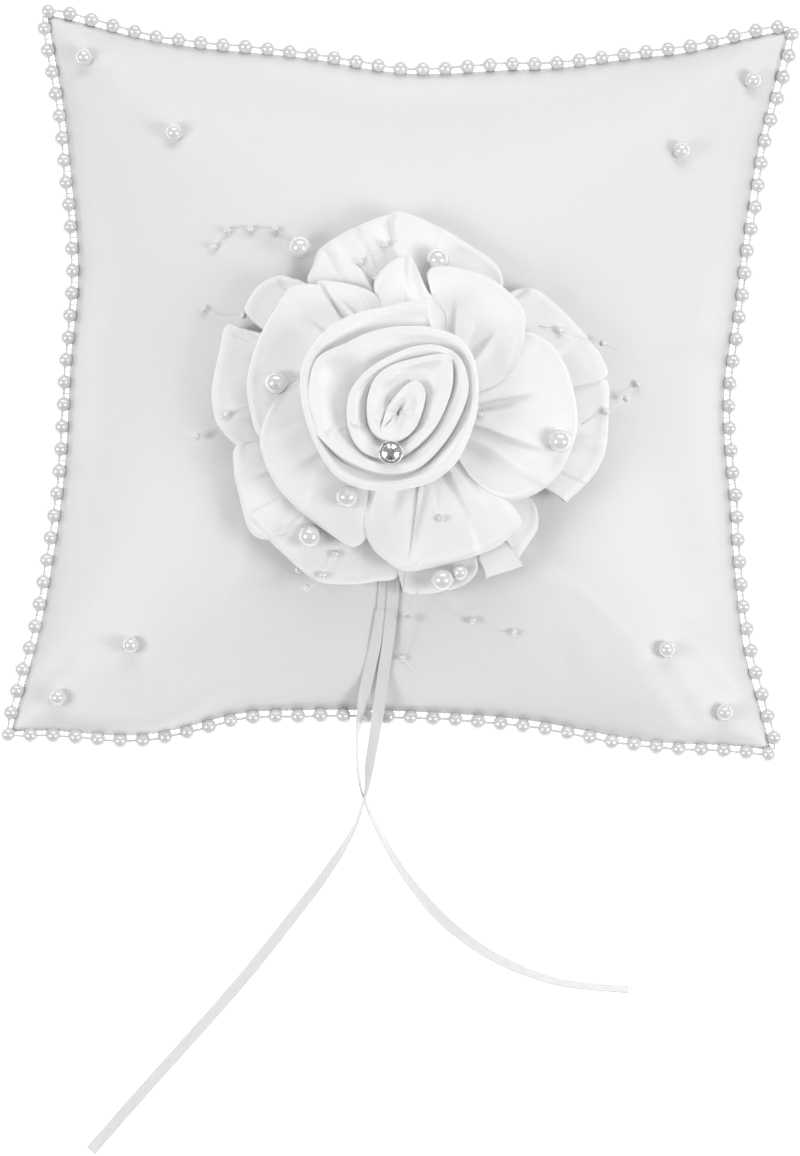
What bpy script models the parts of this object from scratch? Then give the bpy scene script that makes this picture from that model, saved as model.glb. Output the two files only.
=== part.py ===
"""Ring bearer pillow: satin pillow, pearl trim, gathered satin rose and ribbon tails.

X runs across the pillow, Y from the ribbon ends to the far edge, Z up from the table.
"""
import math

import bmesh
import bpy
from mathutils import Vector

MM = 0.001

# Pillow, in millimetres
PANEL_WIDTH = 191.0
PANEL_LENGTH = 183.0
SIDE_PULL = 10.5
END_PULL = 8.2
SEAM_HEIGHT = 25.0
FRONT_RISE = 33.0
BACK_RISE = 33.0
PUFF = 0.6
PANEL_THICKNESS = 0.6
SEAM_GAP = 1.2
FILLING_INSET = 5.0
FILLING_GAP = 1.2
SEAM_THREAD_RADIUS = 0.3
SEAM_THREAD_INSET = 2.0
FIT_GAP = 0.4

# Pearls and trim
TRIM_GAP = 0.7
TRIM_PEARL = 4.2
TRIM_PITCH = 6.0
TRIM_STRING = 0.7
FACE_PEARL = 4.6
FLOWER_PEARL = 6.0
SMALL_FLOWER_PEARL = 4.2
SEED_BEAD = 2.0
FILAMENT = 0.5

# Rose: centre of the gathers, and each ring's own size
ROSE_X = 3.0
ROSE_Y = -9.0
FELT_RADIUS = 26.0
FELT_THICKNESS = 1.2
GATHER_RADIUS = 15.0
LOWER_RADIUS = 49.5
LOWER_LIFT = 3.0
UPPER_RADIUS = 41.0
UPPER_LIFT = 6.0
RUFFLE_THICKNESS = 2.4
RUFFLE_WAVE = 1.3
RUFFLE_SCALLOP = 1.6
LOWER_LOBES = 9
UPPER_LOBES = 7
BUD_LEAN_X = -6.0
BUD_LEAN_Y = -3.5
BUD_HEIGHT = 25.0
BUD_RADIUS = 22.0
BUD_STEP = 6.2
BUD_FOOT_STEP = 4.0
BUD_LIP = 0.8
WRAP_RISE = 1.5
WRAP_THICKNESS = 1.6
CORE_RADIUS = 4.0
CORE_FOOT_RADIUS = 2.8
CORE_DROP = 3.0
CORE_LEAN = 0.35

# Crystal on its pin
CRYSTAL = 5.6
CRYSTAL_TABLE = 3.1
CRYSTAL_CROWN = 1.5
CRYSTAL_GIRDLE = 0.4
CRYSTAL_POINT = 2.0
CUP_WALL = 0.4
CUP_RIM = 0.6
PIN_WIRE = 0.7
PIN_LENGTH = 4.5
PIN_CLEAR = 1.0
CRYSTAL_TURN = -83.0

# Ribbon
RIBBON_WIDTH = 3.1
RIBBON_THICKNESS = 0.4
RIBBON_LIFT = 0.9
RIBBON_POINTS = 44
RIBBON_EXIT_X = -1.5
RIBBON_EXIT_Y = -61.0
FOLD_TUCK = 2.0

for old in list(bpy.data.objects):
    bpy.data.objects.remove(old, do_unlink=True)

parts = bpy.data.collections.new("ring_bearer_pillow")
bpy.context.scene.collection.children.link(parts)


def material(name, colour, roughness, metallic=0.0):
    """A plain Principled material with this colour, roughness and metallic value."""
    made = bpy.data.materials.new(name)
    made.use_nodes = True
    shader = made.node_tree.nodes["Principled BSDF"]
    shader.inputs["Base Color"].default_value = (*colour, 1.0)
    shader.inputs["Roughness"].default_value = roughness
    shader.inputs["Metallic"].default_value = metallic
    return made


SATIN = (0.86, 0.86, 0.87)
PEARL = (0.88, 0.87, 0.86)


def add_part(name, data, look):
    """Put this mesh or curve in the pillow's collection as one named piece."""
    made = bpy.data.objects.new(name, data)
    parts.objects.link(made)
    data.materials.append(look)
    return made


def formed_sheet(name, columns, rows, place, thickness, look, side=-1.0):
    """A grid whose points are moved by place(u, v), welded where they meet, made a shell.

    The wall grows below the grid, or above it when side is 1.
    """
    bm = bmesh.new()
    bmesh.ops.create_grid(bm, x_segments=columns, y_segments=rows, size=0.5)
    for vert in bm.verts:
        vert.co = Vector(place(vert.co.x + 0.5, vert.co.y + 0.5)) * MM
    bmesh.ops.remove_doubles(bm, verts=bm.verts, dist=0.01 * MM)
    bmesh.ops.recalc_face_normals(bm, faces=bm.faces)
    if sum(face.normal.z for face in bm.faces) < 0.0:
        bmesh.ops.reverse_faces(bm, faces=bm.faces)
    mesh = bpy.data.meshes.new(name)
    bm.to_mesh(mesh)
    bm.free()
    made = add_part(name, mesh, look)
    shell = made.modifiers.new("Solidify", "SOLIDIFY")
    shell.thickness = thickness * MM
    shell.offset = side
    mesh.shade_smooth()
    return made


def ball(name, radius, centre, segments, rings, look):
    """A sphere placed by its location."""
    bm = bmesh.new()
    bmesh.ops.create_uvsphere(bm, u_segments=segments, v_segments=rings, radius=radius * MM)
    mesh = bpy.data.meshes.new(name)
    bm.to_mesh(mesh)
    bm.free()
    made = add_part(name, mesh, look)
    made.location = Vector(centre) * MM
    mesh.shade_smooth()
    return made


def wire(name, points, radius, look, swell=None, cyclic=False, flat=0.0):
    """A tube or flat ribbon through these points; swell gives each point's radius factor."""
    curve = bpy.data.curves.new(name, "CURVE")
    curve.dimensions = "3D"
    curve.bevel_depth = radius * MM
    curve.bevel_resolution = 1
    curve.extrude = flat * MM
    curve.use_fill_caps = not cyclic
    curve.twist_mode = "Z_UP"
    spline = curve.splines.new("POLY")
    spline.points.add(len(points) - 1)
    spline.use_cyclic_u = cyclic
    for index, point in enumerate(points):
        spline.points[index].co = (*(Vector(point) * MM), 1.0)
        spline.points[index].radius = swell[index] if swell else 1.0
        spline.points[index].tilt = math.pi / 2 if flat else 0.0
    return add_part(name, curve, look)


def smooth_route(controls, count):
    """Evenly spaced points along a Catmull-Rom curve through the control points."""
    ends = [controls[0]] + list(controls) + [controls[-1]]
    dense = []
    for index in range(1, len(ends) - 2):
        before, start, stop, after = (Vector(ends[index + step]) for step in (-1, 0, 1, 2))
        for step in range(24):
            t = step / 24.0
            dense.append(0.5 * (2.0 * start + (stop - before) * t
                                + (2.0 * before - 5.0 * start + 4.0 * stop - after) * t ** 2
                                + (3.0 * start - before - 3.0 * stop + after) * t ** 3))
    dense.append(Vector(controls[-1]))
    return even_points(dense, count)


def even_points(dense, count):
    """This many points, at equal distances along a fine polyline."""
    lengths = [0.0]
    for one, two in zip(dense, dense[1:]):
        lengths.append(lengths[-1] + (two - one).length)
    chosen = []
    leg = 0
    for index in range(count):
        wanted = lengths[-1] * index / (count - 1)
        while leg < len(dense) - 2 and lengths[leg + 1] < wanted:
            leg += 1
        share = (wanted - lengths[leg]) / max(lengths[leg + 1] - lengths[leg], 1e-9)
        chosen.append(dense[leg].lerp(dense[leg + 1], min(max(share, 0.0), 1.0)))
    return chosen


# ---- Pillow cover: two panels, each with its four sides pulled in ----

def panel_point(u, v, inset=0.0):
    """Where the panel's grid position (-1 to 1) falls on the table plane."""
    x = u * (PANEL_WIDTH / 2.0 - inset - SIDE_PULL * (1.0 - v * v))
    y = v * (PANEL_LENGTH / 2.0 - inset - END_PULL * (1.0 - u * u))
    return x, y


def panel_position(x, y):
    """The inverse of panel_point, by repetition."""
    u, v = 0.0, 0.0
    for _ in range(12):
        u, v = (x / (PANEL_WIDTH / 2.0 - SIDE_PULL * (1.0 - v * v)),
                y / (PANEL_LENGTH / 2.0 - END_PULL * (1.0 - u * u)))
    return u, v


def puffed(u, v):
    """How full the pillow is at a grid position, from 0 at the seam to 1 at the middle."""
    return max((1.0 - u * u) * (1.0 - v * v), 0.0) ** PUFF


def front_height(x, y):
    """Height of the front panel's outer face."""
    u, v = panel_position(x, y)
    inside = abs(u) < 1.0 and abs(v) < 1.0
    return SEAM_HEIGHT + SEAM_GAP / 2.0 + (FRONT_RISE * puffed(u, v) if inside else 0.0)


def spread(t):
    """Grid lines drawn closer together towards the seam."""
    return math.sin(math.pi * (t - 0.5))


def front_place(s, t):
    x, y = panel_point(spread(s), spread(t))
    return x, y, SEAM_HEIGHT + SEAM_GAP / 2.0 + FRONT_RISE * puffed(spread(s), spread(t))


def back_place(s, t):
    x, y = panel_point(spread(s), spread(t))
    return x, y, max(SEAM_HEIGHT - SEAM_GAP / 2.0 - BACK_RISE * puffed(spread(s), spread(t)), 0.0)


satin = material("satin", SATIN, 0.42)
formed_sheet("front_panel", 16, 16, front_place, PANEL_THICKNESS, satin)
formed_sheet("back_panel", 16, 16, back_place, PANEL_THICKNESS, satin, side=1.0)


# ---- Filling: one soft body inside both panels ----

def filling_place(side):
    """The upper (1) or lower (-1) face of the filling, as a grid position function."""
    room = FILLING_GAP + PANEL_THICKNESS

    def place(s, t):
        x, y = panel_point(spread(s), spread(t), FILLING_INSET)
        if side > 0:
            return x, y, SEAM_HEIGHT + (FRONT_RISE + SEAM_GAP / 2.0 - room) * puffed(spread(s), spread(t))
        drop = (BACK_RISE + SEAM_GAP / 2.0 - room) * puffed(spread(s), spread(t))
        return x, y, max(SEAM_HEIGHT - drop, room)
    return place


bm = bmesh.new()
for side in (1, -1):
    grid = bmesh.ops.create_grid(bm, x_segments=10, y_segments=10, size=0.5)["verts"]
    place = filling_place(side)
    for vert in grid:
        vert.co = Vector(place(vert.co.x + 0.5, vert.co.y + 0.5)) * MM
bmesh.ops.remove_doubles(bm, verts=bm.verts, dist=0.01 * MM)
bmesh.ops.recalc_face_normals(bm, faces=bm.faces)
mesh = bpy.data.meshes.new("fibre_filling")
bm.to_mesh(mesh)
bm.free()
add_part("fibre_filling", mesh, material("fibre", (0.8, 0.8, 0.8), 0.9))


# ---- Edge: the seam thread inside it and the string of pearls outside it ----

def edge_route(offset, steps=60):
    """The pillow's outline, moved outwards by offset, at seam height, all the way round."""
    outline = []
    for corner in range(4):
        for step in range(steps):
            t = 2.0 * step / steps - 1.0
            u, v = ((t, -1.0), (1.0, t), (-t, 1.0), (-1.0, -t))[corner]
            outline.append(Vector((*panel_point(u, v), SEAM_HEIGHT)))
    moved = []
    for index, point in enumerate(outline):
        along = outline[(index + 1) % len(outline)] - outline[index - 1]
        moved.append(point + Vector((along.y, -along.x, 0.0)).normalized() * offset)
    return moved + [moved[0]]


thread = even_points(edge_route(-SEAM_THREAD_INSET), 61)[:-1]
wire("seam_thread", thread, SEAM_THREAD_RADIUS, material("thread", SATIN, 0.6), cyclic=True)

trim_path = edge_route(TRIM_PEARL / 2.0 + TRIM_GAP)
trim_length = sum((two - one).length for one, two in zip(trim_path, trim_path[1:]))
trim_count = round(trim_length / TRIM_PITCH)
stations = even_points(trim_path, trim_count * 4 + 1)[:-1]
neck = TRIM_STRING / TRIM_PEARL
wire("pearl_trim", [p for i, p in enumerate(stations) if i % 4 != 3], TRIM_PEARL / 2.0,
     material("trim_pearl", PEARL, 0.2), swell=[neck, 1.0, 1.0] * trim_count, cyclic=True)


# ---- Pearls sewn on the front, two near each corner ----

def face_normal(x, y):
    """Outward direction of the front panel at a place."""
    slope_x = (front_height(x + 0.5, y) - front_height(x - 0.5, y))
    slope_y = (front_height(x, y + 0.5) - front_height(x, y - 0.5))
    return Vector((-slope_x, -slope_y, 1.0)).normalized()


pearl = material("pearl", PEARL, 0.18)
# Each pearl's place as a share of the panel's half width and half length.
FACE_PEARLS = {
    "back_left_outer": (-0.911, 0.918), "back_left_inner": (-0.649, 0.689),
    "back_right_outer": (0.927, 0.896), "back_right_inner": (0.749, 0.699),
    "front_left_outer": (-0.911, -0.940), "front_left_inner": (-0.712, -0.787),
    "front_right_outer": (0.927, -0.913), "front_right_inner": (0.759, -0.743),
}
for place_name, (share_x, share_y) in FACE_PEARLS.items():
    x = share_x * PANEL_WIDTH / 2.0
    y = share_y * PANEL_LENGTH / 2.0
    seat = Vector((x, y, front_height(x, y))) + face_normal(x, y) * (FACE_PEARL / 2.0 + FIT_GAP)
    ball("face_pearl_" + place_name, FACE_PEARL / 2.0, seat, 8, 6, pearl)


# ---- Rose: felt disc, two gathered ruffles, and a bud of three wraps on a rolled core ----

def ring_point(radius, turn):
    """A place at this radius and turn (0 to 1) about the rose's centre."""
    angle = 2.0 * math.pi * turn
    return ROSE_X + radius * math.cos(angle), ROSE_Y + radius * math.sin(angle)


def felt_place(s, t):
    x, y = ring_point(0.5 + (FELT_RADIUS - 0.5) * t, s)
    return x, y, front_height(x, y) + FIT_GAP + FELT_THICKNESS


formed_sheet("felt_backing", 24, 3, felt_place, FELT_THICKNESS, material("felt", SATIN, 0.95))


def ruffle_height(level, radius, turn):
    """Height of a ruffle's upper face: level 0 is the lower ruffle, 1 the upper one."""
    x, y = ring_point(radius, turn)
    stack = FELT_THICKNESS + FIT_GAP + (level + 1) * (RUFFLE_THICKNESS + 2.0 * FIT_GAP)
    lift = (LOWER_LIFT, UPPER_LIFT)[level] * radius / LOWER_RADIUS + level * 2.0 * RUFFLE_WAVE
    lobes = (LOWER_LOBES, UPPER_LOBES)[level]
    out = max(radius - GATHER_RADIUS, 0.0) / (LOWER_RADIUS - GATHER_RADIUS)
    wave = RUFFLE_WAVE * out * math.cos(2.0 * math.pi * lobes * turn)
    return front_height(x, y) + stack + lift + wave


def ruffle_place(level):
    rim = (LOWER_RADIUS, UPPER_RADIUS)[level]
    lobes = (LOWER_LOBES, UPPER_LOBES)[level]

    def place(s, t):
        radius = GATHER_RADIUS + (rim - GATHER_RADIUS) * t
        radius += RUFFLE_SCALLOP * t * math.cos(2.0 * math.pi * lobes * s)
        x, y = ring_point(radius, s)
        return x, y, ruffle_height(level, radius, s)
    return place


formed_sheet("lower_ruffle", 4 * LOWER_LOBES, 3, ruffle_place(0), RUFFLE_THICKNESS, satin)
formed_sheet("upper_ruffle", 4 * UPPER_LOBES, 3, ruffle_place(1), RUFFLE_THICKNESS, satin)

bud_floor = front_height(ROSE_X, ROSE_Y) + FELT_THICKNESS + 2.0 * FIT_GAP
gather_top = max(ruffle_height(1, radius, step / 24.0)
                 for step in range(24) for radius in (GATHER_RADIUS, BUD_RADIUS))
bud_wide_from = gather_top - bud_floor + 3.0 * FIT_GAP + RUFFLE_WAVE


def bud_place(step, height, waves):
    """A wrap: straight up through the gathers, then opening and leaning like a rose bud."""
    top_radius = BUD_RADIUS - step * BUD_STEP
    foot = GATHER_RADIUS - FIT_GAP - step * BUD_FOOT_STEP

    def place(s, t):
        z = height * t
        open_share = max(z - bud_wide_from, 0.0) / (height - bud_wide_from)
        radius = foot + (top_radius - foot) * math.sqrt(open_share)
        x, y = ring_point(radius, s)
        lip = BUD_LIP * open_share * math.cos(2.0 * math.pi * waves * s)
        return x + BUD_LEAN_X * open_share, y + BUD_LEAN_Y * open_share, bud_floor + z + lip
    return place


for index, wrap in enumerate(("outer", "middle", "inner")):
    formed_sheet("bud_" + wrap + "_wrap", 20, 5,
                 bud_place(index, BUD_HEIGHT + WRAP_RISE * index, index + 2),
                 WRAP_THICKNESS, satin, side=1.0)

core_height = BUD_HEIGHT - CORE_DROP
bm = bmesh.new()
bmesh.ops.create_cone(bm, cap_ends=True, segments=12, radius1=CORE_FOOT_RADIUS * MM,
                      radius2=CORE_RADIUS * MM, depth=core_height * MM)
for vert in bm.verts:
    up = vert.co.z / (core_height * MM) + 0.5
    vert.co.x += BUD_LEAN_X * up * CORE_LEAN * MM
    vert.co.y += BUD_LEAN_Y * up * CORE_LEAN * MM
mesh = bpy.data.meshes.new("bud_core")
bm.to_mesh(mesh)
bm.free()
core = add_part("bud_core", mesh, satin)
core.location = Vector((ROSE_X, ROSE_Y, bud_floor + core_height / 2.0)) * MM


# ---- Crystal in its cup, on a pin between two of the wraps ----

def turned(name, profile, steps, centre, look):
    """A turned solid: the profile's radius and height pairs run down its outer side."""
    mesh = bpy.data.meshes.new(name)
    mesh.from_pydata([(r * MM, 0.0, z * MM) for r, z in profile],
                     [(i, i + 1) for i in range(len(profile) - 1)], [])
    made = add_part(name, mesh, look)
    made.location = Vector(centre) * MM
    screw = made.modifiers.new("Screw", "SCREW")
    screw.steps = steps
    screw.render_steps = steps
    screw.use_merge_vertices = True
    screw.merge_threshold = 0.01 * MM
    return made


bud_x = ROSE_X + BUD_LEAN_X
bud_y = ROSE_Y + BUD_LEAN_Y
girdle = CRYSTAL / 2.0
cup_floor = -CRYSTAL_POINT - FIT_GAP
cup_inside = girdle + FIT_GAP
wrap_top = bud_floor + BUD_HEIGHT + WRAP_RISE * 2.0 + BUD_LIP + WRAP_THICKNESS / 2.0
crystal_seat = wrap_top + FIT_GAP - cup_floor + CUP_WALL
crystal_reach = BUD_RADIUS - 2.0 * BUD_STEP + PIN_CLEAR
crystal_at = (bud_x + crystal_reach * math.cos(math.radians(CRYSTAL_TURN)),
              bud_y + crystal_reach * math.sin(math.radians(CRYSTAL_TURN)), crystal_seat)
turned("crystal", [(0.0, CRYSTAL_CROWN), (CRYSTAL_TABLE / 2.0, CRYSTAL_CROWN), (girdle, CRYSTAL_GIRDLE),
                   (girdle, 0.0), (0.0, -CRYSTAL_POINT)], 12, crystal_at,
       material("crystal", (0.75, 0.77, 0.8), 0.05))
turned("crystal_cup", [(0.0, cup_floor), (cup_inside, cup_floor), (cup_inside, CUP_RIM),
                       (cup_inside + CUP_WALL, CUP_RIM), (cup_inside + CUP_WALL, cup_floor - CUP_WALL),
                       (0.0, cup_floor - CUP_WALL)], 12, crystal_at,
       material("silver", (0.72, 0.72, 0.74), 0.2, 1.0))
bm = bmesh.new()
bmesh.ops.create_cone(bm, cap_ends=True, segments=8, radius1=PIN_WIRE / 4.0 * MM,
                      radius2=PIN_WIRE / 2.0 * MM, depth=PIN_LENGTH * MM)
mesh = bpy.data.meshes.new("crystal_pin")
bm.to_mesh(mesh)
bm.free()
pin = add_part("crystal_pin", mesh, material("pin_steel", (0.6, 0.6, 0.62), 0.25, 1.0))
pin.location = Vector((crystal_at[0], crystal_at[1],
                       crystal_seat + cup_floor - CUP_WALL - FIT_GAP - PIN_LENGTH / 2.0)) * MM


# ---- Pearls and bead sprays lying on the petals ----

def rose_top(x, y):
    """Height of whatever lies uppermost here, below the bud: a ruffle or the pillow."""
    radius = math.hypot(x - ROSE_X, y - ROSE_Y)
    turn = math.atan2(y - ROSE_Y, x - ROSE_X) / (2.0 * math.pi)
    if radius < UPPER_RADIUS + RUFFLE_SCALLOP + 1.0:
        return ruffle_height(1, radius, turn)
    if radius < LOWER_RADIUS + RUFFLE_SCALLOP + 1.0:
        return ruffle_height(0, radius, turn)
    return front_height(x, y)


def clear_height(x, y, reach):
    """Height that clears the petals all round a place, out to this reach."""
    around = [rose_top(x, y)]
    for step in range(8):
        angle = math.pi * step / 4.0
        around.append(rose_top(x + reach * math.cos(angle), y + reach * math.sin(angle)))
    return max(around) + FIT_GAP


FLOWER_PEARLS = {
    "back_left": (-27.8, 33.0, FLOWER_PEARL), "back_right": (8.7, 30.3, FLOWER_PEARL),
    "left": (-32.7, -3.3, FLOWER_PEARL), "right": (42.3, -16.0, FLOWER_PEARL),
    "front_left_inner": (-13.6, -37.5, FLOWER_PEARL), "front_left_outer": (-23.0, -44.0, FLOWER_PEARL),
    "front_middle": (12.8, -53.4, FLOWER_PEARL), "front_small": (18.6, -51.6, SMALL_FLOWER_PEARL),
}
for place_name, (x, y, size) in FLOWER_PEARLS.items():
    ball("flower_pearl_" + place_name, size / 2.0,
         (x, y, clear_height(x, y, size / 2.0) + size / 2.0), 10, 7, pearl)

# Each spray's places in turn; True where a seed bead is strung.
SPRAYS = {
    "back_left": [(-31.6, 35.8, False), (-34.5, 37.3, True), (-41.0, 37.4, True), (-47.0, 37.0, True),
                  (-50.5, 32.7, True)],
    "left_upper": [(-39.0, 13.0, False), (-42.0, 13.8, True), (-48.0, 14.0, False), (-52.5, 15.8, True)],
    "left_lower": [(-41.0, -11.0, False), (-45.0, -13.1, True), (-53.0, -18.5, True),
                   (-57.0, -19.3, False)],
    "front_left": [(-23.0, -48.2, False), (-24.9, -52.6, True), (-22.6, -57.6, True),
                   (-18.4, -54.4, True), (-15.2, -48.8, True)],
    "front_right": [(13.8, -57.6, False), (16.6, -61.2, False), (21.6, -63.5, True),
                    (27.5, -65.8, False), (32.5, -66.0, True), (34.4, -65.2, False)],
    "front_middle": [(5.2, -61.5, False), (4.4, -64.0, True), (4.2, -70.0, False), (3.4, -73.4, True),
                     (6.2, -76.4, False)],
    "right_upper": [(38.5, 13.0, False), (41.3, 12.4, True), (47.0, 10.6, False), (53.0, 10.4, True),
                    (57.3, 9.3, False)],
    "right_lower": [(51.0, -11.0, False), (54.4, -8.3, True), (59.8, -3.8, True), (62.7, 0.7, True)],
    "back_middle": [(-2.0, 34.0, False), (-5.4, 32.8, True), (-11.7, 27.8, True), (-7.3, 23.8, True)],
}
nylon = material("nylon", (0.9, 0.9, 0.9), 0.1)
for place_name, places in SPRAYS.items():
    bead = SEED_BEAD / 2.0
    lifted = [Vector((x, y, clear_height(x, y, 2.0) + bead + FIT_GAP)) for x, y, _ in places]
    route = []
    swell = []
    for index, point in enumerate(lifted):
        before = lifted[max(index - 1, 0)]
        after = lifted[min(index + 1, len(lifted) - 1)]
        along = (after - before).normalized()
        strung = places[index][2]
        for reach, size in ((-1.0, 0.0), (-0.5, 1.0), (0.5, 1.0), (1.0, 0.0)) if strung else ((0.0, 0.0),):
            route.append(point + along * reach * bead)
            swell.append(FILAMENT / SEED_BEAD + (1.0 - FILAMENT / SEED_BEAD) * size)
    wire("bead_spray_" + place_name, route, bead, nylon, swell=swell)

for place_name, (x, y) in {"right": (21.5, -10.5), "front": (12.3, -37.8)}.items():
    ball("seed_bead_" + place_name, SEED_BEAD / 2.0, (x, y, clear_height(x, y, 1.0) + SEED_BEAD / 2.0), 8, 5,
         pearl)


# ---- Ribbon: folded and sewn under the rose, with two free tails ----

exit_height = front_height(RIBBON_EXIT_X, RIBBON_EXIT_Y) + RIBBON_LIFT
half_flat = (RIBBON_WIDTH - RIBBON_THICKNESS) / 2.0
layer = RIBBON_THICKNESS + FIT_GAP
silk = material("ribbon", SATIN, 0.35)


def on_front(x, y, level=0):
    """A ribbon place on the front panel; level 1 lies on the other tail."""
    return x, y, front_height(x, y) + RIBBON_LIFT + level * layer


fold_start = ROSE_Y - FELT_RADIUS - FOLD_TUCK
fold_end = RIBBON_EXIT_Y + FIT_GAP
fold = [on_front(RIBBON_EXIT_X - 0.5, fold_start + (fold_end - fold_start) * i / 5.0) for i in range(6)]
wire("ribbon_fold", fold, RIBBON_THICKNESS / 2.0, silk, flat=half_flat)

TAIL_LEFT = [on_front(-1.5, -62.2, 1), on_front(-1.8, -69.4, 1), on_front(-2.6, -78.0, 1),
             (-3.0, -87.0, 30.0), (-3.6, -94.0, 19.5), (-4.4, -101.0, 9.0), (-5.3, -108.0, 2.6),
             (-8.2, -117.0, 0.8), (-14.5, -128.0, 0.4), (-22.2, -139.0, 0.4), (-37.6, -159.7, 0.4),
             (-60.8, -187.9, 0.4), (-74.5, -204.8, 0.4)]
TAIL_RIGHT = [on_front(-2.6, -61.4), on_front(-3.8, -69.4), on_front(-5.4, -78.0),
              (-7.0, -87.0, 29.2), (-7.6, -94.0, 17.0), (-7.2, -101.0, 6.0), (-5.3, -108.0, 0.9),
              (-0.2, -118.0, 0.4), (6.9, -128.6, 0.4), (18.0, -140.4, 0.4), (31.7, -149.3, 0.4),
              (47.9, -154.9, 0.4), (67.2, -156.4, 0.4)]
wire("ribbon_tail_left", smooth_route(TAIL_LEFT, RIBBON_POINTS), RIBBON_THICKNESS / 2.0, silk,
     flat=half_flat)
wire("ribbon_tail_right", smooth_route(TAIL_RIGHT, RIBBON_POINTS), RIBBON_THICKNESS / 2.0, silk,
     flat=half_flat)
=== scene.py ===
import math

import bpy
from mathutils import Matrix, Vector, noise


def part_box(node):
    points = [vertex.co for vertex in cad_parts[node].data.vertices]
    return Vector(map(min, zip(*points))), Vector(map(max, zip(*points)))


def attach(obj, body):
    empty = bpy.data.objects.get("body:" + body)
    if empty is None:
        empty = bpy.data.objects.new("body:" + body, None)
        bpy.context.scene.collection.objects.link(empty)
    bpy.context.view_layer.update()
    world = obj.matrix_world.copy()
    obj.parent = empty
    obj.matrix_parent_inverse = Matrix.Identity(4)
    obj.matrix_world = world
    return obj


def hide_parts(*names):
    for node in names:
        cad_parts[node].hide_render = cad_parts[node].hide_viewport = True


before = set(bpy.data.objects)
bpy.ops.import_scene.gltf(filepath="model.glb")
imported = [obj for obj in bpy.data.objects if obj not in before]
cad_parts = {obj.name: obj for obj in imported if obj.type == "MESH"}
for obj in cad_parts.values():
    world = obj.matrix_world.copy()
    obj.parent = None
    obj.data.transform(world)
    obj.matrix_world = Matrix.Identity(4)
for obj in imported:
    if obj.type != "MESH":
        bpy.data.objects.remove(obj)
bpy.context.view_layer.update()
MM = 0.001

# Camera: a long lens almost straight over the pillow, turned a little so the pillow lies
# slightly askew in the frame, with room below it for the ribbon tails.
VIEW_TILT = math.radians(84.0)
VIEW_ROLL = math.radians(2.2)
VIEW_DISTANCE = 3.0
VIEW_WIDTH = 0.2124
VIEW_AIM = Vector((0.00195, -0.0509, 0.025))
SENSOR_WIDTH = 36.0

bpy.ops.object.camera_add()
camera = bpy.context.object
camera.name = "view_camera"
camera.data.sensor_fit = "HORIZONTAL"
camera.data.sensor_width = SENSOR_WIDTH
camera.data.lens = SENSOR_WIDTH * VIEW_DISTANCE / VIEW_WIDTH
camera.data.clip_end = 20.0
towards = Vector((0.0, math.cos(VIEW_TILT), -math.sin(VIEW_TILT)))
camera.location = VIEW_AIM - towards * VIEW_DISTANCE
turn = towards.to_track_quat("-Z", "Y").to_matrix() @ Matrix.Rotation(VIEW_ROLL, 3, "Z")
camera.rotation_euler = turn.to_euler()
bpy.context.scene.camera = camera

# Studio: a white table top, two soft boxes at the sides, one large one overhead, a dark card in
# front and a pale room, so the satin shades softly and each pearl shows a pair of highlights.
TABLE_SIZE = 6.0
TABLE_DROP = 0.0003
TABLE_GLOW = 0.62
FLAG_AT = Vector((0.0, -1.0, 1.2))
FLAG_SIZE = 0.62
ROOM_LIGHT = 0.38


def set_inputs(node, **sockets):
    """Give inputs of a node their values, or link them where another node's output is given."""
    for name, value in sockets.items():
        socket = node.inputs[name.replace("_", " ")]
        if isinstance(value, bpy.types.NodeSocket):
            node.id_data.links.new(value, socket)
        else:
            socket.default_value = value


def new_material(name, colour, roughness, **sockets):
    """A Principled material to build on, with its node tree and its shader."""
    made = bpy.data.materials.new(name)
    made.use_nodes = True
    shader = made.node_tree.nodes["Principled BSDF"]
    set_inputs(shader, Base_Color=(*colour, 1.0), Roughness=roughness, **sockets)
    return made, made.node_tree, shader


def dress(piece, material):
    """Give a piece this one material."""
    piece.data.materials.clear()
    piece.data.materials.append(material)


bpy.ops.mesh.primitive_plane_add(size=TABLE_SIZE, location=(0.0, 0.0, -TABLE_DROP))
table = bpy.context.object
table.name = "table_top"
dress(table, new_material("white_table", (0.98, 0.98, 0.98), 0.9, Specular_IOR_Level=0.1,
                          Emission_Color=(1.0, 1.0, 1.0, 1.0), Emission_Strength=TABLE_GLOW)[0])

for light_name, place, size, power in (
        ("left_box", (-1.0, -0.3, 1.05), (0.5, 0.6), 6.9),
        ("right_box", (1.0, -0.3, 1.05), (0.5, 0.6), 8.4),
        ("top_box", (0.1, 1.5, 1.5), (2.0, 0.9), 14.9)):
    bpy.ops.object.light_add(type="AREA", location=place)
    lamp = bpy.context.object
    lamp.name = light_name
    lamp.data.shape = "RECTANGLE"
    lamp.data.size = size[0]
    lamp.data.size_y = size[1]
    lamp.data.energy = power
    lamp.rotation_euler = (-Vector(place)).to_track_quat("-Z", "Y").to_euler()

bpy.ops.mesh.primitive_plane_add(size=FLAG_SIZE, location=FLAG_AT)
flag = bpy.context.object
flag.name = "dark_flag"
flag.rotation_euler = FLAG_AT.to_track_quat("Z", "Y").to_euler()
dress(flag, new_material("black_card", (0.03, 0.03, 0.03), 0.5)[0])

room = bpy.data.worlds.new("pale_room")
bpy.context.scene.world = room
room.use_nodes = True
set_inputs(room.node_tree.nodes["Background"], Color=(1.0, 1.0, 1.0, 1.0), Strength=ROOM_LIGHT)
bpy.context.scene.view_settings.view_transform = "Standard"

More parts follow.
